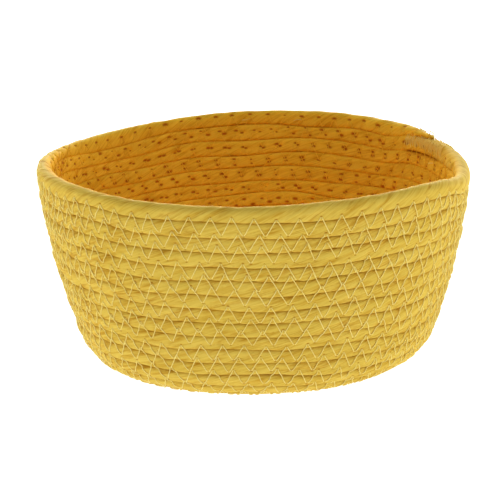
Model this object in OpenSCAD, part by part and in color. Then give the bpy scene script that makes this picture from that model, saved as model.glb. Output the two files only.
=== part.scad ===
// Coiled paper-rope basket: one rope wound from the centre of the base up to the rim, each row
// sewn to the row below it with a zigzag lockstitch. Millimetres, +Z up, the origin in the middle
// of the base on the table. The rope's end lies at the back right.

/* [Basket] */
// Outside diameter at the rim
rim_diameter = 200; // [170:1:240]
// Height of the rope's end above the table
height = 95; // [84:1:110]
// Direction of the rope's end, in degrees from +X
end_azimuth = 27; // [0:1:90]

/* [Wall outline] */
// Radius of the bend between base and wall, at the rope's centre
corner_radius = 21; // [14:1:26]
// Slope of the wall above the bend, in degrees
corner_slope = 69; // [62:0.5:74]
// Slope of the wall at the rim, in degrees
rim_slope = 82.5; // [79:0.5:88]

/* [Rope] */
// Rows of rope from the centre to the rim
row_count = 24; // [22:1:26]
// Clear space between neighbouring rows
row_gap = 0.04; // [0.02:0.01:0.1]
// Depth to which the base is pressed flat underneath
press = 0.3; // [0.2:0.05:0.5]
// Length of the thinned end of the rope, in degrees around the rim
thinned_angle = 14; // [8:1:20]
// Thickness of the thinned end at its tip
tip_thickness = 3; // [2:0.5:4]

/* [Sewing] */
// Width of the sewing that shows in the groove between two rows
groove_width = 2.4; // [1.6:0.1:2.8]
// Thickness of the sewing in the groove
groove_depth = 0.25; // [0.15:0.05:0.3]
// Thickness of the sewing thread
thread = 0.4; // [0.3:0.05:0.6]
// Length of the dense bar tack over the rope's end, in degrees around the rim
tack_angle = 24; // [16:1:30]
// Length of a loose thread end
loose_length = 12; // [8:1:16]

/* [Hidden] */
$fn = 72;
paper = "#D9B64F";
cotton = "#E6CB74";

// The outline's flat, bend and wall follow from the rim's size. The rope's thickness follows from
// the number of rows that the outline has to hold, because neighbouring rows touch.
slope_drop = cos(corner_slope) - cos(rim_slope);
slope_gain = sin(rim_slope) - sin(corner_slope);
wall_turn = (rim_slope - corner_slope) * PI / 180;
corner_turn = corner_slope * PI / 180;
corner_rise = corner_radius * (1 - cos(corner_slope));

function wall_radius(rope) = (height - rope + press - corner_rise) / slope_drop;
function flat_radius(rope) =
    (rim_diameter - rope) / 2 - corner_radius * sin(corner_slope) - wall_radius(rope) * slope_gain;
function outline_length(rope) =
    flat_radius(rope) + corner_radius * corner_turn + wall_radius(rope) * wall_turn;

pitches = row_count + 1 / 4;
shortening = outline_length(0) - outline_length(1);
rope = (outline_length(0) - row_gap * pitches) / (pitches + shortening);
pitch = rope + row_gap;
base_height = rope / 2 - press;
flat_r = flat_radius(rope);
wall_r = wall_radius(rope);
corner_end = flat_r + corner_radius * corner_turn;
base_rows = floor((flat_r - pitch / 4) / pitch);
wall_rows = row_count - base_rows - 1;
last_half = 2 * row_count - 1;
seat = 0.05;
joint_step = 0.02;
groove_face = base_height - seat - groove_depth / 2;

function two_digits(n) = str(n < 10 ? "0" : "", n);
function numbered(prefix, count) = [for (n = [1:count]) str(prefix, two_digits(n))];

// Slope of the outline at a distance along it from the centre of the base.
function slope_at(along) =
    along < flat_r ? 0
    : along < corner_end ? (along - flat_r) / corner_radius * 180 / PI
    : corner_slope + (along - corner_end) / wall_r * 180 / PI;

// Point of the outline, [radius, height], at a distance along it.
function outline_at(along) =
    let (slope = slope_at(along))
    along < flat_r ? [along, base_height]
    : along < corner_end
        ? [flat_r + corner_radius * sin(slope), base_height + corner_radius * (1 - cos(slope))]
        : [
            flat_r + corner_radius * sin(corner_slope) + wall_r * (sin(slope) - sin(corner_slope)),
            base_height + corner_rise + wall_r * (cos(corner_slope) - cos(slope))
        ];

// The rope crosses the line through its end once each half turn, first on the end's side of the
// centre. These are the crossings of the rope, and of the seam between it and the next row out.
function rope_crossing(half) = outline_at(pitch / 4 + half * pitch / 2);
function seam_crossing(half) = (rope_crossing(half) + rope_crossing(half + 2)) / 2;
function seam_slope(half) =
    let (across = rope_crossing(half + 2) - rope_crossing(half)) atan2(across[1], across[0]);

// A half turn is a semicircle from one crossing to the next, in a plane that leans with the rise,
// so the half turns join smoothly. Angles in it run back from its finish.
function half_radius(start, finish) = norm([start[0] + finish[0], start[1] - finish[1]]) / 2;

module half_plane(half, start, finish) {
    near = half % 2 == 0 ? start : finish;
    far = half % 2 == 0 ? finish : start;
    lean = atan2(near[1] - far[1], near[0] + far[0]);
    translate([(near[0] - far[0]) / 2, 0, (near[1] + far[1]) / 2])
        rotate([0, -lean, 0])
            rotate([0, 0, half % 2 == 0 ? 180 : 0])
                children();
}

module half_turn(half, start, finish, from = 0, to = 180) {
    half_plane(half, start, finish)
        rotate([0, 0, from])
            rotate_extrude(angle = to - from)
                translate([half_radius(start, finish), 0])
                    children();
}

module rope_half(half, from = 0) {
    half_turn(half, rope_crossing(half), rope_crossing(half + 1), from)
        children();
}

module pressed_section(thickness = rope) {
    intersection() {
        circle(d = thickness);
        translate([-rope / 2, -base_height])
            square(rope);
    }
}

// One turn of the rope in the flat base. The first has the rope's rounded start.
module base_row(row) {
    color(paper) rotate([0, 0, end_azimuth]) {
        for (half = [2 * row - 2, 2 * row - 1])
            rope_half(half)
                pressed_section();
        if (row == 1)
            translate([pitch / 4, 0, base_height])
                rotate_extrude(angle = 180)
                    intersection() {
                        pressed_section(rope - joint_step);
                        translate([0, -rope / 2])
                            square(rope);
                    }
    }
}

// One turn of the rope in the wall. Its second half is a hair thinner, so that the two leaning
// halves meet in a clean step.
module wall_row(row) {
    color(paper) rotate([0, 0, end_azimuth])
        for (half = [2 * row - 2, 2 * row - 1])
            rope_half(half)
                circle(d = rope - half % 2 * joint_step);
}

// The last turn, which stops where the rope's end is thinned.
module rim_row() {
    color(paper) rotate([0, 0, end_azimuth]) {
        rope_half(last_half - 1)
            circle(d = rope);
        rope_half(last_half, thinned_angle)
            circle(d = rope - joint_step);
    }
}

// The rope's end, thinned along the row below until only its flat tip is left.
module rope_tail() {
    start = rope_crossing(last_half);
    finish = rope_crossing(last_half + 1);
    module station(share) {
        thickness = rope + share * (tip_thickness - rope);
        rotate([0, 0, thinned_angle * (1 - share)])
            translate([half_radius(start, finish), -seat / 2, (thickness - rope) / 2])
                rotate([90, 0, 0])
                    cylinder(d = thickness, h = seat / 2, $fn = 36);
    }
    color(paper) rotate([0, 0, end_azimuth])
        half_plane(last_half, start, finish)
            hull()
                for (share = [0, 0.5, 1])
                    station(share);
}

// A strip along a seam, placed to one side of the line through the two rows' centres. A positive
// offset is on the basket's inside.
module seam_strip(half, size, offset, from = 0, to = 180) {
    slope = (seam_slope(half) + seam_slope(half + 1)) / 2;
    half_turn(half, seam_crossing(half), seam_crossing(half + 1), from, to)
        rotate(slope)
            translate([0, offset])
                square(size, center = true);
}

// The sewing between two rows, as a strip in the groove on each face: the needle thread outside
// and underneath, clear of the table, and the bobbin thread inside.
module seam(row) {
    color(cotton) rotate([0, 0, end_azimuth])
        for (half = [2 * row - 2, 2 * row - 1], side = [-1, 1])
            seam_strip(half, [groove_width, groove_depth], side * groove_face);
}

// The dense bar tack that holds the thinned end down onto the row below, on both faces.
module end_tack() {
    start_angle = 2;
    face = rope / 2 + seat + thread / 2;
    color(cotton) rotate([0, 0, end_azimuth])
        for (side = [-1, 1])
            seam_strip(last_half - 2, [pitch, thread], side * face, start_angle, start_angle + tack_angle);
}

// Two loose thread ends inside the wall, below the bar tack and further round the back.
module loose_threads() {
    lean_in = 15;
    module loose_thread(half, angle) {
        start = seam_crossing(half);
        finish = seam_crossing(half + 1);
        half_plane(half, start, finish)
            rotate([0, 0, angle])
                translate([half_radius(start, finish) - rope / 2 - thread, 0, 0])
                    rotate([90, 0, -lean_in])
                        cylinder(d = thread, h = loose_length);
    }
    color(cotton) rotate([0, 0, end_azimuth]) {
        loose_thread(last_half - 6, 8);
        loose_thread(last_half - 2, 60);
    }
}

for (row = [1:base_rows]) {
    base_row(row);
    seam(row);
}
for (row = [1:wall_rows]) {
    wall_row(base_rows + row);
    seam(base_rows + row);
}
rim_row();
rope_tail();
end_tack();
loose_threads();
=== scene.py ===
"""Coiled paper-rope basket: twisted paper rows sewn together with a zigzag lockstitch."""

import math

import bpy
import numpy as np
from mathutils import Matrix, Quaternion, Vector


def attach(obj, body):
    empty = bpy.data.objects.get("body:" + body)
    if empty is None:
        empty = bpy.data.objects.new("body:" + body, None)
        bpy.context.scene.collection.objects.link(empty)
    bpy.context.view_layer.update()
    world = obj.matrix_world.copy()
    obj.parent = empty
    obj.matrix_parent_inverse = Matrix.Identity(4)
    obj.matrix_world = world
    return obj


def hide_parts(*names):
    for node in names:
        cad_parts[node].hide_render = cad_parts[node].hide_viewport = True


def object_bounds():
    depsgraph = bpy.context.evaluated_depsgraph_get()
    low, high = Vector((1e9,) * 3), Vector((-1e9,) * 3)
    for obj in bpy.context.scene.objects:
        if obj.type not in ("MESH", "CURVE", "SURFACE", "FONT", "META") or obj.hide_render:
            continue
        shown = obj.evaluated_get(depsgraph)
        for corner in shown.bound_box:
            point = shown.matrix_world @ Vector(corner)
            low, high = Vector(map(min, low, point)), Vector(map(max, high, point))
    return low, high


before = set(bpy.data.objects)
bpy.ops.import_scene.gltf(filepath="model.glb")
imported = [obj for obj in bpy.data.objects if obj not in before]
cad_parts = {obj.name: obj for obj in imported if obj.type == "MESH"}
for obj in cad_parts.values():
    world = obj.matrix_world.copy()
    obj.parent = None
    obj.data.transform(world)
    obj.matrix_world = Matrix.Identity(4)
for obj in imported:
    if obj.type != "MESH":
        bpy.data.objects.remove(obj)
cad_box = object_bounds()
low, high = cad_box

# Lengths are in millimetres up to the meshes, which are in metres.
MM = 0.001

# The coil, as in the CAD. A place along it is given in turns from the start of the rope.
TURNS = 24
BASE_ROWS = 8
END = math.radians(27)  # direction of the rope's end
CORNER = 21.0  # radius of the bend between base and wall
CORNER_SLOPE = math.radians(69)
RIM_SLOPE = math.radians(82.5)
PRESS = 0.3  # depth to which the base is pressed flat
GAP = 0.04  # between neighbouring rows
THINNED = 14 / 360  # length of the rope's thinned end
RIM_OVER_BOX = 0.43  # the outline's radius, over half the mean width of the CAD box
TOP_OVER_BOX = 0.26  # the outline's height, over the top of the CAD box
RIM_R = ((high[0] - low[0]) + (high[1] - low[1])) / 4 / MM + RIM_OVER_BOX
HEIGHT = high[2] / MM + TOP_OVER_BOX

# The looks of rope and thread.
TIP_NARROWER = 0.45  # share of the rope's width that is gone at its tip
TIP_THINNER = 0.4  # the same of its thickness
ROUND_START = 4.8  # length of the rounded start in the middle of the base
OVERLAP = 0.12  # of neighbouring rows, so that no light shows between them
AROUND = 40  # points around the rope
SPACING = 0.7  # between rings of points along it
SQUARENESS = 4.0  # exponent of the rope's flattened section
INNER_SQUARER = 1.0  # added to it on the inner face
RIM_ROUNDER = 1.7  # taken from it on the free side of the last row
STITCH = 8.5  # length of a stitch of two legs
SWING = 4.25  # distance of the needle holes from the groove
THREAD = 0.22  # radius outside
INNER_THREAD = 0.15
TACK_THREAD = 0.2
LOOSE_THREAD = 0.17
FIBRE = 0.13
TABLE = 0.02  # nothing reaches lower than this

# Colours of the paper. The second is painted light: the same paper in a deeper orange, laid on the inner
# face for the light that glows through the wall and bounces inside the bowl.
PAPER = (0.79, 0.575, 0.10)
PAPER_PAINTED_GLOW = (0.96, 0.585, 0.045)
WHITE = (1.0, 1.0, 1.0)


# ---------------------------------------------------------------- outline and coil

def outline_sizes(rope):
    """Radius of the flat, radius of the wall's curve and length of the outline for a rope."""
    rise = CORNER * (1 - math.cos(CORNER_SLOPE))
    wall = (HEIGHT - rope + PRESS - rise) / (math.cos(CORNER_SLOPE) - math.cos(RIM_SLOPE))
    gain = math.sin(RIM_SLOPE) - math.sin(CORNER_SLOPE)
    flat = RIM_R - rope / 2 - CORNER * math.sin(CORNER_SLOPE) - wall * gain
    return flat, wall, flat + CORNER * CORNER_SLOPE + wall * (RIM_SLOPE - CORNER_SLOPE)


# The outline's length falls evenly with the rope's thickness, and the rows just fill it.
length_at_0, length_at_1 = outline_sizes(0)[2], outline_sizes(1)[2]
ROPE = (length_at_0 - GAP * (TURNS + 0.25)) / (TURNS + 0.25 + length_at_0 - length_at_1)
PITCH = ROPE + GAP
FLAT_R, WALL_R, _ = outline_sizes(ROPE)


def outline(s):
    """Radius, height and slope of the rope's centre at distances along the outline."""
    bend_end = FLAT_R + CORNER * CORNER_SLOPE
    on_flat, on_bend = s < FLAT_R, s < bend_end
    wall_slope = CORNER_SLOPE + (s - bend_end) / WALL_R
    slope = np.where(on_flat, 0, np.where(on_bend, (s - FLAT_R) / CORNER, wall_slope))
    bend_r = FLAT_R + CORNER * np.sin(slope)
    wall_r = FLAT_R + CORNER * math.sin(CORNER_SLOPE) + WALL_R * (np.sin(slope) - math.sin(CORNER_SLOPE))
    bend_z = CORNER * (1 - np.cos(slope))
    wall_z = CORNER * (1 - math.cos(CORNER_SLOPE)) + WALL_R * (math.cos(CORNER_SLOPE) - np.cos(slope))
    r = np.where(on_flat, s, np.where(on_bend, bend_r, wall_r))
    z = np.where(on_flat, 0, np.where(on_bend, bend_z, wall_z))
    return r, z + ROPE / 2 - PRESS, slope


# Where the rope crosses the line through its end, once each half turn.
CROSS_R, CROSS_Z, _ = outline(PITCH / 4 + np.arange(2 * TURNS + 4) * PITCH / 2)


def smoothstep(x):
    """A soft step from 0 to 1."""
    x = np.clip(x, 0, 1)
    return x * x * (3 - 2 * x)


def noise(seed, short, long, count=24):
    """A smooth random function of one length, with about unit spread."""
    rng = np.random.default_rng(seed)
    wave = 2 * np.pi / np.exp(rng.uniform(math.log(short), math.log(long), count))
    phase = rng.uniform(0, 2 * np.pi, count)

    def value(x):
        x = np.asarray(x, float)
        return sum(np.cos(w * x + p) for w, p in zip(wave, phase)) * math.sqrt(2 / count)
    return value


def coil(t):
    """Centre, radial direction and azimuth of the coil after t turns, as a chain of half turns."""
    t = np.asarray(t, float)
    half = np.clip(np.floor(2 * t).astype(int), 0, 2 * TURNS + 2)
    turn = np.pi * (2 * t - half)
    side = np.where(half % 2 == 0, 1.0, -1.0)
    r0, r1, z0, z1 = CROSS_R[half], CROSS_R[half + 1], CROSS_Z[half], CROSS_Z[half + 1]
    x = side * ((r0 - r1) / 2 + (r0 + r1) / 2 * np.cos(turn))
    y = -side * (r0 + r1) / 2 * np.sin(turn)
    z = (z0 + z1) / 2 + (z0 - z1) / 2 * np.cos(turn)
    ux, uy = side * np.cos(turn), -side * np.sin(turn)
    c, s = math.cos(END), math.sin(END)
    centre = np.stack([c * x - s * y, s * x + c * y, z], -1)
    radial = np.stack([c * ux - s * uy, s * ux + c * uy, np.zeros_like(ux)], -1)
    return centre, radial, np.arctan2(radial[..., 1], radial[..., 0])


# The grid runs from two turns before the rope's start, for the row that each row rests on.
GRID = 720
grid_t = np.arange(-2 * GRID, 26 * GRID + 1) / GRID
grid_centre = coil(np.clip(grid_t, -0.25, 25))[0]
grid_len = np.concatenate([[0], np.cumsum(np.linalg.norm(np.diff(grid_centre, axis=0), axis=1))])
grid_len -= np.interp(0, grid_t, grid_len)


def length_at(t):
    """Length of rope up to a place."""
    return np.interp(t, grid_t, grid_len)


def turn_at(length):
    """Place at a length of rope."""
    return np.interp(length, grid_len, grid_t)


def row_wander():
    """How far the upper edge of each row strays from the even coil, on the grid."""
    rough = noise(3, 45, 420)(grid_len)
    spread = 0.12 + 0.34 * smoothstep((grid_t - BASE_ROWS) / 3)
    below_rim = 1 - smoothstep((grid_t - (TURNS - 1.05)) / 0.3)
    wander = np.zeros_like(grid_t)
    # Each row rests on the one before it. The rim's edge is nearly even.
    for i in range(GRID, len(grid_t)):
        resting = 0.62 * wander[i - GRID] + spread[i] * rough[i]
        wander[i] = resting * below_rim[i] + 0.10 * rough[i] * (1 - below_rim[i])
    # The last row is taller on the right.
    azimuth = END - 2 * np.pi * grid_t
    wander -= 0.9 * np.cos(azimuth - 0.2) * smoothstep((grid_t - 16) / 6.5) * below_rim
    # The rows rise under the rope's end, and dip just past it.
    for turns, share in ((23, 1), (22, 0.75), (21, 0.5), (20, 0.3), (19, 0.12)):
        past = (grid_t - turns) * 360
        wander += share * 3.4 * smoothstep((past + 22) / 14) * (1 - smoothstep((past - 8) / 30))
        wander -= share * 1.5 * np.exp(-((past - 48) / 15) ** 2)
    return wander


grid_wander = row_wander()
grid_proud = noise(5, 60, 500)(grid_len)
grid_thick = noise(6, 25, 240)(grid_len)


def rim_shape(azimuth, z):
    """How far the hand-wound wall is out of round, and how its rim dips."""
    weight = (np.clip(z, 0, None) / HEIGHT) ** 1.5
    out = (-3.0 * np.cos(2 * azimuth) - 1.6 * np.sin(2 * azimuth)
           - 0.5 * np.cos(3 * azimuth) + 0.2 * np.sin(3 * azimuth) - 0.3 * np.sin(4 * azimuth))
    up = (-0.5 * np.cos(2 * azimuth) - 0.5 * np.sin(2 * azimuth)
          - 0.7 * np.cos(3 * azimuth) - 1.1 * np.sin(3 * azimuth))
    return weight * out, weight * (up - 0.35)


def row_frame(t):
    """Where the rope is after t turns: centre, directions along and out of the wall, half sizes."""
    centre, radial, azimuth = coil(t)
    slope = outline(PITCH * (0.25 + np.asarray(t, float)))[2]
    up = np.array([0.0, 0.0, 1.0])
    along = radial * np.cos(slope)[..., None] + up * np.sin(slope)[..., None]
    outward = radial * np.sin(slope)[..., None] - up * np.cos(slope)[..., None]
    lower = np.interp(t - 1, grid_t, grid_wander)
    upper = np.interp(t, grid_t, grid_wander)
    wall = smoothstep((t - BASE_ROWS) / 2)
    push, lift = rim_shape(azimuth, centre[..., 2])
    centre = centre + radial * push[..., None] + up * lift[..., None]
    centre = centre + along * ((lower + upper) / 2)[..., None]
    centre = centre + outward * (wall * 0.16 * np.interp(t, grid_t, grid_proud))[..., None]
    width = (PITCH + upper - lower) / 2 + OVERLAP
    depth = ROPE / 2 * (1 + 0.03 * np.interp(t, grid_t, grid_thick))
    return centre, along, outward, width, depth


def thinning(t):
    """Share of the way along the rope's thinned end."""
    return smoothstep((t - (TURNS - THINNED)) / THINNED)


def face_depth(h, width, depth):
    """Height of the rope's face above its centre, at h across it."""
    return depth * np.clip(1 - np.abs(h / width) ** SQUARENESS, 0.02, 1) ** (1 / SQUARENESS)


# ---------------------------------------------------------------- needle holes

def needle_holes():
    """Place on the seam of each needle hole, the row that it is in, and its height above the groove."""
    rng = np.random.default_rng(11)
    first, last = length_at(0.55), length_at(TURNS - 1)
    count = int((last - first) / (STITCH / 2))
    length = first + (np.arange(count) + 0.5) * STITCH / 2 + rng.normal(0, 0.22, count)
    swing = SWING + rng.normal(0, 0.2, count)
    shift = -0.5 + 0.85 * noise(8, 300, 1600)(length)
    upper = np.arange(count) % 2 == 0
    rise = np.where(upper, swing, -swing) + np.clip(shift, -1.6, 0.8)
    t = turn_at(length)
    return t, np.where(rise > 0, t + 1, t), rise


hole_t, hole_row, hole_rise = needle_holes()
hole_centre, hole_along, hole_out, _width, _depth = row_frame(hole_row)
hole_h = np.where(hole_rise > 0, -_width + hole_rise, _width + hole_rise)
hole_y = face_depth(hole_h, _width, _depth)
_order = np.argsort(hole_row)
sorted_h = hole_h[_order]
sorted_len = length_at(hole_row[_order])


def nearest_hole(length, h):
    """Distance along and across the rope from each point to the nearest hole in it."""
    i = np.searchsorted(sorted_len, length)
    best, dx, dh = np.full(np.shape(length), 1e9), np.zeros(np.shape(length)), np.zeros(np.shape(length))
    for step in range(-3, 3):
        k = np.clip(i + step, 0, len(sorted_len) - 1)
        x, y = length - sorted_len[k], h - sorted_h[k]
        d = x * x + y * y
        closer = d < best
        best = np.where(closer, d, best)
        dx, dh = np.where(closer, x, dx), np.where(closer, y, dh)
    return dx, dh


# ---------------------------------------------------------------- meshes

FAR_FROM_HOLE = 50.0
SHARP = math.radians(65)


def new_mesh(name, points, quads, ends=(), uvs=None):
    """A mesh object from points in millimetres, quads, and capping rings."""
    mesh = bpy.data.meshes.new(name)
    quads = np.asarray(quads, np.int32).reshape(-1, 4)
    corners = [quads.ravel()]
    totals = [np.full(len(quads), 4, np.int32)]
    for ring in ends:
        corners.append(np.asarray(ring, np.int32))
        totals.append(np.array([len(ring)], np.int32))
    corners, totals = np.concatenate(corners), np.concatenate(totals)
    starts = np.concatenate([[0], np.cumsum(totals)[:-1]]).astype(np.int32)
    mesh.vertices.add(len(points))
    mesh.vertices.foreach_set("co", (np.asarray(points) * MM).astype(np.float32).ravel())
    mesh.loops.add(len(corners))
    mesh.loops.foreach_set("vertex_index", corners)
    mesh.polygons.add(len(totals))
    mesh.polygons.foreach_set("loop_start", starts)
    mesh.polygons.foreach_set("use_smooth", np.ones(len(totals), bool))
    for layer, values in (uvs or {}).items():
        full = np.full((len(corners), 2), FAR_FROM_HOLE if layer == "hole" else 0.0, np.float32)
        full[:len(values)] = values
        mesh.uv_layers.new(name=layer).data.foreach_set("uv", full.ravel())
    mesh.update(calc_edges=True)
    mesh.validate()
    mesh.set_sharp_from_angle(angle=SHARP)
    ob = bpy.data.objects.new(name, mesh)
    bpy.context.scene.collection.objects.link(ob)
    return ob


def tubes(paths, outs, radius, sides=6):
    """Points, quads and end rings of tubes along paths, an array of (tube, station, xyz)."""
    tangent = np.gradient(paths, axis=1)
    tangent /= np.linalg.norm(tangent, axis=-1, keepdims=True) + 1e-12
    across = np.cross(tangent, outs)
    across /= np.linalg.norm(across, axis=-1, keepdims=True) + 1e-12
    normal = np.cross(across, tangent)
    angle = (np.arange(sides) * 2 * np.pi / sides)[:, None]
    spoke = np.cos(angle) * across[:, :, None] + np.sin(angle) * normal[:, :, None]
    points = paths[:, :, None] + radius * spoke
    count, stations = paths.shape[:2]
    tube, i, j = np.meshgrid(np.arange(count), np.arange(stations - 1), np.arange(sides), indexing="ij")
    base = (tube * stations + i) * sides
    jn = (j + 1) % sides
    quads = np.stack([base + j, base + jn, base + sides + jn, base + sides + j], -1).reshape(-1, 4)
    ends = []
    for n in range(count):
        ends.append(n * stations * sides + np.arange(sides)[::-1])
        ends.append((n * stations + stations - 1) * sides + np.arange(sides))
    return points.reshape(-1, 3), quads, ends


def thread_mesh(name, runs):
    """One mesh of threads. A run is paths, outward directions, a radius and the weight of the painted inner
    glow on it.
    """
    points, quads, ends, face, base = [], [], [], [], 0
    for paths, outs, radius, inner in runs:
        p, q, e = tubes(paths, outs, radius)
        face.append(np.full((len(q) * 4, 2), inner))
        points.append(p)
        quads.append(q + base)
        ends += [ring + base for ring in e]
        base += len(p)
    points = np.concatenate(points)
    points[:, 2] = np.maximum(points[:, 2], TABLE)
    ob = new_mesh(name, points, np.concatenate(quads), ends, {"face": np.concatenate(face)})
    ob.data.materials.append(thread_paint)
    return ob


# ---------------------------------------------------------------- rope

def crease_field(seed, shallow, steep):
    """Waves of the paper's twist: their number around the rope, wave number along it, and phase."""
    rng = np.random.default_rng(seed)

    def wave(m, spread):
        slant = math.tan(math.radians(rng.uniform(shallow, steep)))
        return m, m * slant / 3.3 + rng.normal(0, spread), rng.uniform(0, 6.3)

    broad = [wave(m, 0.05) for m in (1, 1, 2, 2, 2, 3, 3, 3, 4, 4, 5, 5)]
    fine = [wave(m, 0.12) for m in (3, 4, 5, 5, 6, 6, 7, 7, 8, 8, 9, 9, 10, 11)]
    return broad, fine


WALL_CREASES = crease_field(21, 9, 26)
RIM_CREASES = crease_field(22, 22, 40)


def crease(length, turn, waves):
    """Relief of the paper's folds, and how far into a fold each point is, which also sets painted shade."""
    broad, fine = (sum(np.cos(k * length - m * turn + p) / math.sqrt(m) for m, k, p in field)
                   for field in waves)
    fold = np.exp(-(fine / 0.32) ** 2) * np.clip(0.5 - broad / 1.6, 0.1, 1)
    return 0.04 * broad - 0.13 * fold + 0.01 * fine, fold


def tack_pinch(t, h, width):
    """How far the dense stitches at the rope's end pinch the grooves above and below them."""
    # The turn of the groove, degrees held before and after it, height, half width and depth.
    grooves = ((TURNS - 2, 13, 10, -0.2, 1.25, 0.45), (TURNS - 1, 10, 3, 0.1, 0.75, 0.4))
    for seam_t, rise in ((t, h - width[:, None]), (t - 1, h + width[:, None])):
        for turns, before, after, centre_rise, spread, dent in grooves:
            past = (seam_t - turns) * 360
            held = smoothstep((past + before) / 5) * smoothstep((after - past) / 5)
            yield dent, held[:, None] * np.exp(-((rise - centre_rise) / spread) ** 2)


def relief(length, t, h, width, turn, free, waves):
    """Height of the paper above the plain section, and the weight of painted shade in the folds and
    grooves.
    """
    c, s = np.cos(turn), np.sin(turn)
    inside = s < 0
    bump, fold = crease(length[:, None], turn, waves)
    touching = (1 - free) * c ** 6
    bump = bump * (1 - 0.85 * touching)
    crack = smoothstep((np.abs(c) - 0.87) / 0.08) * (1 - free)
    # Painted shade: darker in the folds and in the grooves where rows touch.
    painted_shade = np.clip(0.35 * fold + (1.0 - 0.6 * inside) * crack, 0, 1)
    # The thread pulls the paper in at each needle hole.
    dx, dh = nearest_hole(np.broadcast_to(length[:, None], h.shape), h)
    pull = np.exp(-((dx / 1.1) ** 2 + (dh / 0.8) ** 2) / 2) * (np.abs(s) > 0.35)
    bump = bump - (0.34 + 0.16 * inside) * pull
    for dent, pinch in tack_pinch(t, h, width):
        bump = bump - dent * pinch * inside
        # The grooves pinched by the tack get painted shade too.
        painted_shade = np.clip(painted_shade + 0.5 * pinch * inside, 0, 1)
    return bump, painted_shade


def paper_layers(length, t, h, turn, painted_shade, at_rim):
    """UV layers: place on the paper, offset from the nearest hole, and the weights of the painted inner
    glow and of the painted shade in folds and grooves.
    """
    count = len(length) - 1
    closed = np.r_[0:AROUND, 0]
    around = np.arange(AROUND + 1) * 2 * np.pi / AROUND * ROPE / 2
    ii, jj = np.meshgrid(np.arange(count), np.arange(AROUND), indexing="ij")
    corners = [(ii, jj), (ii + 1, jj), (ii + 1, jj + 1), (ii, jj + 1)]

    def layer(x, y):
        return np.stack([np.stack([x(a, b), y(a, b)], -1) for a, b in corners], 2).reshape(-1, 2)

    h, painted_shade = h[:, closed], painted_shade[:, closed]
    mid_len = (length[ii] + length[ii + 1]) / 2
    mid_h = (h[ii, jj] + h[ii + 1, jj] + h[ii, jj + 1] + h[ii + 1, jj + 1]) / 4
    dx, dh = nearest_hole(mid_len, mid_h)
    dx = dx + np.where(np.abs(np.sin(turn[jj] + np.pi / AROUND)) > 0.3, 0, FAR_FROM_HOLE)
    # Weight of the painted inner glow; on the last row it starts further in, so the rim's top keeps the
    # plain paper colour.
    inner = np.clip((0.0 if at_rim else 0.5) - 1.5 * np.sin(turn), 0, 1)[None, closed]
    # Less of the painted inner glow is laid on the inner face of the rim just past the rope's end, so it is
    # painted paler there.
    past_end = (t - (TURNS - 1)) * 360
    pale = smoothstep((past_end + 4) / 12) * (1 - smoothstep((past_end - 35) / 40))
    inner = inner * (1 - 0.6 * pale * at_rim)[:, None]
    return {"paper": layer(lambda a, b: length[a], lambda a, b: around[b]),
            "hole": layer(lambda a, b: length[a] - mid_len + dx, lambda a, b: h[a, b] - mid_h + dh),
            "face": layer(lambda a, b: inner[a, b], lambda a, b: painted_shade[a, b])}


def frayed_paper():
    """Fibres of torn paper that stand up from the end of the rope and just past it."""
    rng = np.random.default_rng(51)
    paths, outs = [], []
    for i in range(16):
        past = i > 10
        t = TURNS - 1 + rng.uniform(9, 14) / 360 if past else TURNS - rng.uniform(0.0, 2.5) / 360
        centre, along, outward, width, depth = (part[0] for part in row_frame(np.array([t])))
        ahead = np.cross(outward, along)
        ahead *= np.sign(ahead @ (row_frame(np.array([t + 0.002]))[0][0] - centre))
        size = rng.uniform(0.5, 1.2) if past else rng.uniform(0.8, 2.4)
        root = centre + along * width * (0.9 if past else rng.uniform(-0.5, 0.0))
        root = root + outward * rng.uniform(-0.6, 0.6) * depth
        lean = ahead * rng.uniform(0.6, 1.4) + along * rng.uniform(-0.1, 0.6) + outward * rng.normal(0, 0.4)
        bend = along * rng.normal(0, 0.5) + outward * rng.normal(0, 0.4)
        u = np.linspace(0, 1, 8)[:, None]
        paths.append(root + size * (lean * u + bend * u * u))
        outs.append(np.broadcast_to(outward, (8, 3)))
    return tubes(np.array(paths), np.array(outs), FIBRE, 5)


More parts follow.
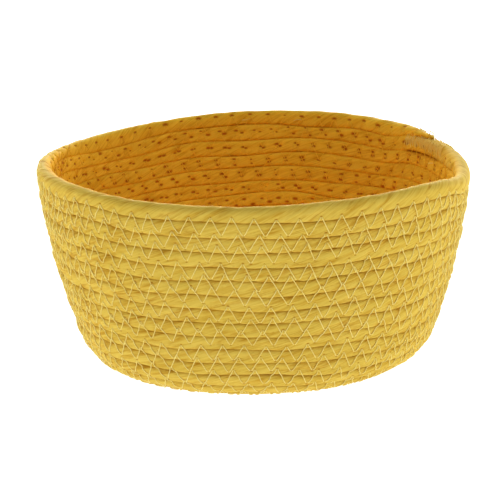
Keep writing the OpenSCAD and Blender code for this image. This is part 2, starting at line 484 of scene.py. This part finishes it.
def rope_piece(name, t0, t1, node):
    """The rope from t0 to t1, with the creases of its paper and the dents of its sewing."""
    l0, l1 = length_at(t0), length_at(t1)
    count = max(8, int(round((l1 - l0) / SPACING)))
    length = np.linspace(l0, l1, count + 1)
    t = turn_at(length)
    at_rim = t0 >= TURNS - 1
    centre, along, outward, width, depth = row_frame(t)
    thin = thinning(t)
    scale = 1 - TIP_NARROWER * thin
    centre = centre - along * (width * (1 - scale))[:, None]
    width, depth = width * scale, depth * (1 - TIP_THINNER * thin)

    turn = np.pi + np.arange(AROUND) * 2 * np.pi / AROUND
    c, s = np.cos(turn)[None, :], np.sin(turn)[None, :]
    free = smoothstep((t - (TURNS - 1.03)) / 0.03)[:, None] * (c > 0)
    n = SQUARENESS + INNER_SQUARER * (s < 0) * (1 - free) - RIM_ROUNDER * free
    radius = (np.abs(c / width[:, None]) ** n + np.abs(s / depth[:, None]) ** n) ** (-1 / n)
    waves = RIM_CREASES if at_rim else WALL_CREASES
    bump, painted_shade = relief(length, t, radius * c, width, turn[None, :], free, waves)
    start = smoothstep((length + ROUND_START) / 2.6)[:, None]
    finish = smoothstep((length_at(TURNS) - length + 0.25) / 2.4)[:, None]
    radius = (radius + bump) * np.sqrt(np.where(t[:, None] < 1, start, finish))
    h, y = radius * c, radius * s
    points = centre[:, None] + along[:, None] * h[..., None] + outward[:, None] * y[..., None]
    # The base and the start of the bend are pressed flat, with a trace of the creases left.
    pressed = np.maximum(points[..., 2], TABLE + 0.04 * (1 + bump / 0.2))
    points[..., 2] = np.where(t[:, None] < BASE_ROWS + 2.5, pressed, points[..., 2])
    points = points.reshape(-1, 3)

    i, j = np.arange(count)[:, None], np.arange(AROUND)[None, :]
    jn = (j + 1) % AROUND
    ring, following = i * AROUND, (i + 1) * AROUND
    quads = np.stack([ring + j, following + j, following + jn, ring + jn], -1).reshape(-1, 4)
    ends = [np.arange(AROUND), count * AROUND + np.arange(AROUND)[::-1]]
    layers = paper_layers(length, t, h, turn, painted_shade, at_rim)
    if node == "rope_tail":
        p, q, e = frayed_paper()
        ends += [end + len(points) for end in e]
        quads = np.concatenate([quads, q + len(points)])
        points = np.concatenate([points, p])
        for layer, fill in (("paper", 0), ("hole", FAR_FROM_HOLE), ("face", 0)):
            layers[layer] = np.concatenate([layers[layer], np.full((len(q) * 4, 2), float(fill))])
    ob = new_mesh(name, points, quads, ends, layers)
    ob.data.materials.append(rim_paper if at_rim else wall_paper)
    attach(ob, "root")
    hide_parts(node)


# ---------------------------------------------------------------- sewing

# Stations along a leg of a stitch, and how high the thread stands over the paper there.
LEG = np.array([0, 0.025, 0.07, 0.16, 0.3, 0.4, 0.5, 0.6, 0.7, 0.84, 0.93, 0.975, 1.0]) * 0.91 + 0.045
STAND = 0.2
DIVE = np.array([-0.55, -0.3, 0.02, 0.16, *[STAND] * 5, 0.16, 0.02, -0.3, -0.55])
INNER_SINK = 0.12


def stitch_paths(first, last, side):
    """Thread from hole to hole on one face: paths and outward directions."""
    i = np.arange(first, last)
    surface = hole_centre + hole_along * hole_h[:, None] + side * hole_out * hole_y[:, None]
    here, there = (1 - LEG)[:, None], LEG[:, None]
    path = surface[i][:, None] * here + surface[i + 1][:, None] * there
    out = side * (hole_out[i][:, None] * here + hole_out[i + 1][:, None] * there)
    t = hole_t[i][:, None] * (1 - LEG) + hole_t[i + 1][:, None] * LEG
    # Between its holes a leg lies on whichever of the two rows stands higher.
    push = np.full(t.shape, -0.35)
    for row in (t, t + 1):
        centre, along, outward, width, depth = row_frame(row)
        rel = path - centre
        h = np.sum(rel * along, -1)
        y = side * np.sum(rel * outward, -1)
        need = np.where(np.abs(h) < width, face_depth(h, width, depth) - y, -9)
        push = np.maximum(push, need)
    push = np.where(np.abs(DIVE - STAND) < 0.1, push, 0)
    sink = 0 if side > 0 else INNER_SINK
    path = path + out * (push + DIVE - sink)[..., None]
    path[..., 2] = np.maximum(path[..., 2], THREAD + 0.01)
    return path, out


def seam_piece(name, row, node):
    """The zigzag between a row and the next, on both faces."""
    first = int(np.searchsorted(hole_t, row - 1))
    last = min(int(np.searchsorted(hole_t, row)), len(hole_t) - 1)
    ob = thread_mesh(name, [(*stitch_paths(first, last, 1), THREAD, 0.0),
                            (*stitch_paths(first, last, -1), INNER_THREAD, 1.0)])
    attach(ob, "root")
    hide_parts(node)


def tack_leg(t, rise, side):
    """One leg of the tack, at heights from the groove between the last two rows."""
    c1, a1, o1, w1, d1 = row_frame(t)
    c2, a2, o2, w2, d2 = row_frame(t + 1)
    thin = thinning(t + 1)
    scale = 1 - TIP_NARROWER * thin
    half, depth = w2 * scale, d2 * (1 - TIP_THINNER * thin)
    lower = rise < 0
    h = np.where(lower, w1 + rise, -w2 + rise * scale)
    y1 = face_depth(np.clip(h, -w1, w1), w1, d1)
    y2 = face_depth(np.clip(h + w2 - half, -half, half), half, depth)
    y = np.maximum(np.where(lower, y1, y2), 0.62 * depth)
    p = np.where(lower[:, None], c1 + a1 * h[:, None], c2 + a2 * h[:, None])
    out = np.where(lower[:, None], o1, o2) * side
    u = np.linspace(0, 1, len(t))
    bow = 0.06 - 0.4 * np.exp(-np.minimum(u, 1 - u) / 0.06)
    return p + out * (y + bow)[:, None], out


def bar_tack():
    """Dense upright stitches over the thinned end of the rope and the row below it, on both faces."""
    rng = np.random.default_rng(31)
    count, stations, reach = 46, 9, 11 / 360
    t = TURNS - 1 + np.linspace(-reach, reach, count + 1) + rng.normal(0, 0.0004, count + 1)
    u = np.linspace(0, 1, stations)
    upward = np.linspace(-5.4, 1.2, stations)
    downward = np.linspace(1.2, -5.4, stations)
    runs = []
    # The tack's threads get only part of the painted inner glow, less outside than inside.
    for side, inner in ((1, 0.1), (-1, 0.4)):
        legs = []
        for i in range(count):
            rise = (downward if i % 2 else upward) + rng.normal(0, 0.5)
            legs.append(tack_leg(t[i] + (t[i + 1] - t[i]) * u, rise, side))
        paths, outs = zip(*legs)
        runs.append((np.array(paths), np.array(outs), TACK_THREAD, inner))
    ob = thread_mesh("bar_tack_stitches", runs)
    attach(ob, "root")
    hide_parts("end_tack")


def loose_threads():
    """Cut thread ends that stand off the inside of the wall."""
    rng = np.random.default_rng(41)
    u = np.linspace(0, 1, 15)
    paths, outs = [], []
    # The turn where each begins, its length, its first height and rise, and how far it stands off.
    for turns, reach, first, rise, stand in ((20.998, 11.5, 0.6, 4.0, 1.0),
                                             (22.856, 5.5, 2.2, 0.9, 0.9),
                                             (22.813, 5.5, 1.6, 1.2, 0.6)):
        centre, along, outward, width, depth = row_frame(turn_at(length_at(turns) + u * reach))
        wobble = 0.3 * np.sin(5 * u + rng.uniform(0, 6))
        height = width + first + rise * u + wobble
        inward = depth * 0.8 + stand * np.sin(u * 2.2) + 0.2
        paths.append(centre + along * height[:, None] - outward * inward[:, None])
        outs.append(outward)
    # The loose ends get part of the painted inner glow.
    ob = thread_mesh("loose_thread_ends", [(np.array(paths), np.array(outs), LOOSE_THREAD, 0.35)])
    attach(ob, "root")
    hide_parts("loose_threads")


# ---------------------------------------------------------------- materials

def nodes_of(name):
    """A new material and its empty node tree."""
    mat = bpy.data.materials.new(name)
    mat.use_nodes = True
    tree = mat.node_tree
    tree.nodes.clear()
    return mat, tree


def add(tree, kind, **values):
    """A node with the named inputs or settings."""
    node = tree.nodes.new(kind)
    for key, value in values.items():
        if key in node.inputs:
            node.inputs[key].default_value = value
        else:
            setattr(node, key, value)
    return node


def maths(tree, operation, *values):
    """The result of a math node on numbers or sockets."""
    node = tree.nodes.new("ShaderNodeMath")
    node.operation = operation
    for socket, value in zip(node.inputs, values):
        if isinstance(value, (int, float)):
            socket.default_value = value
        else:
            tree.links.new(value, socket)
    return node.outputs[0]


def ramp(tree, value, *stops):
    """A colour ramp, whose stops are a position with a colour or a grey."""
    node = tree.nodes.new("ShaderNodeValToRGB")
    while len(node.color_ramp.elements) < len(stops):
        node.color_ramp.elements.new(0.5)
    for element, (position, colour) in zip(node.color_ramp.elements, stops):
        element.position = position
        element.color = (*colour, 1) if isinstance(colour, tuple) else (colour, colour, colour, 1)
    tree.links.new(value, node.inputs[0])
    return node.outputs[0]


def mixed(tree, blend, factor, a, b):
    """A colour mix of colours or sockets."""
    node = tree.nodes.new("ShaderNodeMix")
    node.data_type = "RGBA"
    node.blend_type = blend
    for socket, value in ((node.inputs[0], factor), (node.inputs[6], a), (node.inputs[7], b)):
        if isinstance(value, (int, float)):
            socket.default_value = value
        elif isinstance(value, tuple):
            socket.default_value = (*value, 1)
        else:
            tree.links.new(value, socket)
    return node.outputs[2]


def tinted(tree, base, value, first, tint, last):
    """The base colour, tinted up to the first value and plain from the last."""
    return mixed(tree, "MULTIPLY", 1.0, base, ramp(tree, value, (first, tint), (last, WHITE)))


def finish_surface(tree, colour, bump, roughness, specular):
    """The shader and output of a matt surface."""
    shader = add(tree, "ShaderNodeBsdfPrincipled", Roughness=roughness)
    shader.inputs["Specular IOR Level"].default_value = specular
    tree.links.new(colour, shader.inputs["Base Color"])
    tree.links.new(bump.outputs[0], shader.inputs["Normal"])
    tree.links.new(shader.outputs[0], add(tree, "ShaderNodeOutputMaterial").inputs[0])


def split_layer(tree, layer):
    """The first and second value of a UV layer."""
    uv = add(tree, "ShaderNodeUVMap", uv_map=layer)
    parts = add(tree, "ShaderNodeSeparateXYZ")
    tree.links.new(uv.outputs[0], parts.inputs[0])
    return parts.outputs[0], parts.outputs[1]


def needle_hole(tree, inner, some):
    """1 in the middle of each needle hole, 0 outside it. Some holes are larger than others."""
    hole_uv = add(tree, "ShaderNodeUVMap", uv_map="hole")
    oval = add(tree, "ShaderNodeVectorMath", operation="MULTIPLY")
    tree.links.new(hole_uv.outputs[0], oval.inputs[0])
    oval.inputs[1].default_value = (0.72, 1.35, 0)
    far = add(tree, "ShaderNodeVectorMath", operation="LENGTH")
    tree.links.new(oval.outputs[0], far.inputs[0])
    size = maths(tree, "MULTIPLY_ADD", some, 1.0, 0.05)
    size = maths(tree, "MULTIPLY", size, maths(tree, "MULTIPLY_ADD", inner, 1.1, 0.75))
    hole = maths(tree, "SUBTRACT", 1.0, maths(tree, "DIVIDE", far.outputs["Value"], size))
    return maths(tree, "MAXIMUM", maths(tree, "MINIMUM", maths(tree, "MULTIPLY", hole, 1.6), 1.0), 0.0)


def paper_material(name, angle):
    """Creased paper whose grain runs at an angle to the rope."""
    mat, tree = nodes_of(name)
    link = tree.links.new
    uv = add(tree, "ShaderNodeUVMap", uv_map="paper")
    turned = add(tree, "ShaderNodeMapping")
    turned.inputs["Rotation"].default_value = (0, 0, -math.radians(angle))
    link(uv.outputs[0], turned.inputs[0])

    def grain(along, across, shift, detail=2.0, rough=0.55, distortion=0.0):
        """Noise stretched along the grain, with sizes in millimetres."""
        place = add(tree, "ShaderNodeMapping")
        place.inputs["Scale"].default_value = (1 / along, 1 / across, 1)
        place.inputs["Location"].default_value = (shift, shift * 1.7, 0)
        link(turned.outputs[0], place.inputs[0])
        n = add(tree, "ShaderNodeTexNoise", noise_dimensions="2D", Scale=1.0,
                Detail=detail, Roughness=rough, Distortion=distortion)
        link(place.outputs[0], n.inputs["Vector"])
        return n.outputs[0]

    def thin_line(value, level, sharpness):
        """0 on a line where the value passes the level, 1 away from it."""
        off = maths(tree, "ABSOLUTE", maths(tree, "SUBTRACT", value, level))
        return maths(tree, "MINIMUM", maths(tree, "MULTIPLY", off, sharpness), 1.0)

    folds = grain(13.0, 1.3, 3.1, 3.0, 0.55, 0.3)
    crisp = thin_line(grain(34.0, 1.5, 17.7, 1.5, 0.4, 0.25), 0.5, 12.0)
    pleat = thin_line(grain(45.0, 2.6, 29.3, 1.0, 0.4, 0.15), 0.47, 15.0)
    unpleated = ramp(tree, grain(16.0, 5.0, 63.0, 1.0), (0.42, 0.0), (0.58, 1.0))
    pleat = maths(tree, "MAXIMUM", pleat, unpleated)
    fibre = grain(2.2, 0.22, 41.3, 3.0, 0.7)
    patch = grain(38.0, 9.0, 5.9, 2.0, 0.5)
    inner, painted_shade = split_layer(tree, "face")
    hole = needle_hole(tree, inner, grain(6.0, 6.0, 77.0, 0.0))

    # Painted glow: the inner face gets the deeper orange of the light through the wall.
    base = mixed(tree, "MIX", inner, PAPER, PAPER_PAINTED_GLOW)
    # Painted shade: darker, more orange paper in the folds and grooves.
    base = mixed(tree, "MULTIPLY", painted_shade, base, (0.70, 0.42, 0.14))
    base = tinted(tree, base, patch, 0.30, (0.93, 0.91, 0.80), 0.72)
    # Painted shade in the creases: darker where the folds, crisp lines and pleats sink in the bump.
    base = tinted(tree, base, folds, 0.30, (0.94, 0.92, 0.86), 0.66)
    base = tinted(tree, base, crisp, 0.0, (0.90, 0.81, 0.62), 0.8)
    base = tinted(tree, base, pleat, 0.0, (0.82, 0.68, 0.42), 0.9)
    base = tinted(tree, base, fibre, 0.25, (0.94, 0.93, 0.90), 0.7)
    # Painted shade inside each needle hole, in a deeper orange on the inner face.
    hole_shade = mixed(tree, "MIX", inner, (0.46, 0.22, 0.02), (0.46, 0.13, 0.006))
    base = mixed(tree, "MIX", hole, base, hole_shade)

    height = folds
    for value, share in ((crisp, 0.16), (pleat, 0.3), (fibre, 0.10), (hole, -0.3)):
        height = maths(tree, "MULTIPLY_ADD", value, share, height)
    bump = add(tree, "ShaderNodeBump", Strength=1.0, Distance=0.0002)
    link(height, bump.inputs["Height"])
    finish_surface(tree, base, bump, 0.6, 0.01)
    return mat


def thread_material():
    """Cotton thread, paler outside than inside: the inner face is painted in a deeper orange for the light
    that glows through the wall.
    """
    mat, tree = nodes_of("sewing_thread")
    link = tree.links.new
    place = add(tree, "ShaderNodeTexCoord")
    fine = add(tree, "ShaderNodeTexNoise", Scale=1500.0, Detail=3.0)
    slow = add(tree, "ShaderNodeTexNoise", Scale=60.0)
    link(place.outputs["Object"], fine.inputs["Vector"])
    link(place.outputs["Object"], slow.inputs["Vector"])
    inner, _ = split_layer(tree, "face")
    outer_tone = ramp(tree, slow.outputs[0], (0.3, (0.92, 0.74, 0.20)), (0.7, (0.94, 0.79, 0.26)))
    # Painted glow: the inner threads are a deeper orange.
    painted_glow_tone = ramp(tree, slow.outputs[0], (0.3, (0.94, 0.53, 0.03)), (0.7, (0.95, 0.60, 0.05)))
    colour = mixed(tree, "MIX", inner, outer_tone, painted_glow_tone)
    colour = mixed(tree, "MULTIPLY", 1.0, colour, ramp(tree, fine.outputs[0], (0.3, 0.88), (0.7, 1.0)))
    bump = add(tree, "ShaderNodeBump", Strength=0.6, Distance=0.00008)
    link(fine.outputs[0], bump.inputs["Height"])
    finish_surface(tree, colour, bump, 0.5, 0.02)
    return mat


# The grain crosses the rope more steeply on the last row.
wall_paper = paper_material("paper_wall", 17)
rim_paper = paper_material("paper_rim", 31)
thread_paint = thread_material()


# ---------------------------------------------------------------- basket

for row in range(1, BASE_ROWS + 1):
    start = row - 1 if row > 1 else turn_at(-ROUND_START)
    rope_piece(f"paper_base_row_{row:02d}", start, row, f"base_row_{row:02d}")
    seam_piece(f"stitches_base_seam_{row:02d}", row, f"base_seam_{row:02d}")
for row in range(BASE_ROWS + 1, TURNS):
    n = row - BASE_ROWS
    rope_piece(f"paper_wall_row_{n:02d}", row - 1, row, f"wall_row_{n:02d}")
    seam_piece(f"stitches_wall_seam_{n:02d}", row, f"wall_seam_{n:02d}")
rope_piece("paper_rim_row", TURNS - 1, TURNS - THINNED, "rim_row")
rope_piece("paper_rope_tail", TURNS - THINNED, TURNS, "rope_tail")
bar_tack()
loose_threads()


# ---------------------------------------------------------------- floor, light and camera

FLOOR_HALF = 8.0


def floor_material():
    """A white floor that is lit from inside, like a light table."""
    mat, tree = nodes_of("pale_floor")
    shader = add(tree, "ShaderNodeBsdfPrincipled", Roughness=0.8)
    shader.inputs["Base Color"].default_value = (0.16, 0.16, 0.16, 1)
    shader.inputs["Emission Color"].default_value = (*WHITE, 1)
    shader.inputs["Emission Strength"].default_value = 1.15
    tree.links.new(shader.outputs[0], add(tree, "ShaderNodeOutputMaterial").inputs[0])
    return mat


def lay_floor():
    """The floor under the basket."""
    mesh = bpy.data.meshes.new("floor")
    corners = [(x * FLOOR_HALF, y * FLOOR_HALF, 0) for x, y in ((-1, -1), (1, -1), (1, 1), (-1, 1))]
    mesh.from_pydata(corners, [], [(0, 1, 2, 3)])
    mesh.materials.append(floor_material())
    floor = bpy.data.objects.new("floor", mesh)
    bpy.context.scene.collection.objects.link(floor)


def light_studio():
    """White light from overhead, from high in front, and from low behind the basket."""
    world = bpy.data.worlds.new("studio")
    bpy.context.scene.world = world
    world.use_nodes = True
    sky = world.node_tree
    place = add(sky, "ShaderNodeTexCoord")
    direction = add(sky, "ShaderNodeSeparateXYZ")
    sky.links.new(place.outputs["Generated"], direction.inputs[0])
    _, away, up = direction.outputs
    front = ramp(sky, maths(sky, "MULTIPLY", away, -4.0), (0.0, 0.0), (1.0, 1.0))
    behind = ramp(sky, maths(sky, "MULTIPLY", away, 4.0), (0.0, 0.0), (1.0, 1.0))
    low_band = ramp(sky, up, (0.0, 1.0), (0.22, 1.0), (0.32, 0.0))
    high_band = ramp(sky, up, (0.30, 0.0), (0.42, 1.0), (0.66, 1.0), (0.78, 0.0))
    overhead = ramp(sky, up, (0.55, 0.0), (0.75, 1.0))
    glow = maths(sky, "MULTIPLY", maths(sky, "MULTIPLY", front, high_band), 0.75)
    glow = maths(sky, "MULTIPLY_ADD", maths(sky, "MULTIPLY", behind, low_band), 5.4, glow)
    glow = maths(sky, "MULTIPLY_ADD", overhead, 0.45, glow)
    background = sky.nodes["Background"]
    background.inputs[0].default_value = (*WHITE, 1)
    sky.links.new(glow, background.inputs[1])


def soft_box(name, azimuth, elevation, size, power):
    """A soft light that faces the middle of the basket, with its direction in degrees."""
    distance, middle = 1.5, Vector((0, 0, 0.04))
    a, e = math.radians(azimuth), math.radians(elevation)
    direction = Vector((math.cos(e) * math.cos(a), math.cos(e) * math.sin(a), math.sin(e)))
    light = bpy.data.lights.new(name, "AREA")
    light.shape = "RECTANGLE"
    light.size, light.size_y = size
    light.energy = power
    ob = bpy.data.objects.new(name, light)
    bpy.context.scene.collection.objects.link(ob)
    ob.location = middle + distance * direction
    ob.rotation_euler = (middle - ob.location).to_track_quat("-Z", "Y").to_euler()


def place_camera():
    """A camera in front that looks down on the basket, held a little out of level."""
    tilt, roll, distance = math.radians(13.4), math.radians(-1.42), 1.0
    data = bpy.data.cameras.new("camera")
    data.sensor_width = 36
    data.lens = 159.264
    data.clip_start = 0.05
    data.clip_end = 60
    data.shift_x = -0.0119
    data.shift_y = 0.0057
    camera = bpy.data.objects.new("camera", data)
    bpy.context.scene.collection.objects.link(camera)
    bpy.context.scene.camera = camera
    camera.location = (0, -distance * math.cos(tilt), HEIGHT * MM / 2 + distance * math.sin(tilt))
    look = Vector((0, math.cos(tilt), -math.sin(tilt))).to_track_quat("-Z", "Y")
    camera.rotation_mode = "QUATERNION"
    camera.rotation_quaternion = look @ Quaternion((0, 0, 1), roll)


lay_floor()
light_studio()
soft_box("left_box", 195, 18, (1.0, 0.8), 2.0)
soft_box("right_box", -15, 18, (1.0, 0.8), 2.9)
soft_box("back_box", 90, 25, (1.2, 0.8), 26.0)
place_camera()
# Light bounces many times inside the bowl.
bpy.context.scene.cycles.diffuse_bounces = 8
bpy.context.scene.view_settings.view_transform = "Standard"
bpy.context.scene.view_settings.look = "None"
